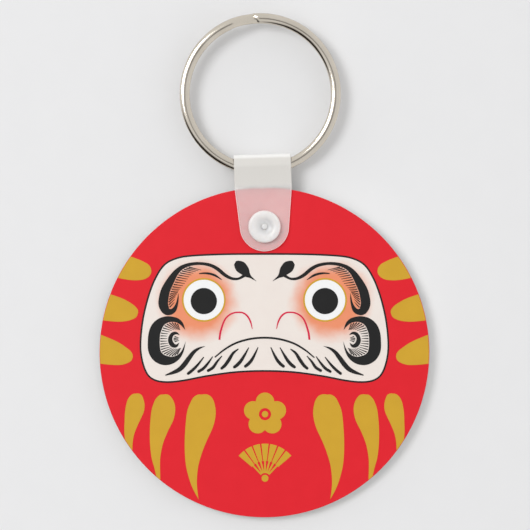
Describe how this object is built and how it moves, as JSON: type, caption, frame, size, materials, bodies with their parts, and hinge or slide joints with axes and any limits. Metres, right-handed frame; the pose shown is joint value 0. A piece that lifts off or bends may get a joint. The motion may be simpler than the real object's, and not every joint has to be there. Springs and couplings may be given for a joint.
{
  "type": "key tag",
  "caption": "Round flat key tag printed with a daruma face, hung from a split ring by a clear strap with a plastic snap.",
  "frame": {"origin": "below the middle of the outline, on the surface that the part lies on", "axes": "+Z out of the printed face, +Y from the tag towards its ring, +X to the right of the face"},
  "size_m": [0.0572, 0.0874, 0.0052],
  "materials": {
    "board": "routed edge of a glass-fibre board",
    "red_print": "gloss coat dyed red",
    "white_coat": "gloss white coat",
    "cream_print": "gloss coat dyed cream, orange round the eyes",
    "gold_print": "gloss coat dyed ochre",
    "white_print": "gloss coat left white",
    "black_print": "gloss coat dyed black",
    "crimson_print": "gloss coat dyed crimson",
    "clear_vinyl": "frosted clear vinyl",
    "snap_plastic": "moulded natural plastic",
    "nickel_steel": "nickel-plated spring steel"
  },
  "bodies": {
    "tag": {"tag_board": "board", "front_film": "red_print", "back_film": "white_coat", "ink_cream": "cream_print", "ink_gold": "gold_print", "ink_white": "white_print", "ink_black": "black_print", "ink_hairs": "black_print", "ink_red": "crimson_print"},
    "strap": {"strap": "clear_vinyl", "snap_socket": "snap_plastic", "snap_stud": "snap_plastic"},
    "ring": {"split_ring": "nickel_steel"}
  },
  "joints": [
    {"name": "snap_swivel", "type": "hinge", "parent": "tag", "child": "strap", "pos_m": [0, 0.00663, 0.0025], "axis": [0, 0, 1], "range_deg": [-21.8, 18.2]},
    {"name": "ring_flip", "type": "hinge", "parent": "strap", "child": "ring", "pos_m": [-0.00033, 0.01712, 0.0025], "axis": [0.9995, 0.0314, 0], "range_deg": [-130, 130]}
  ]
}
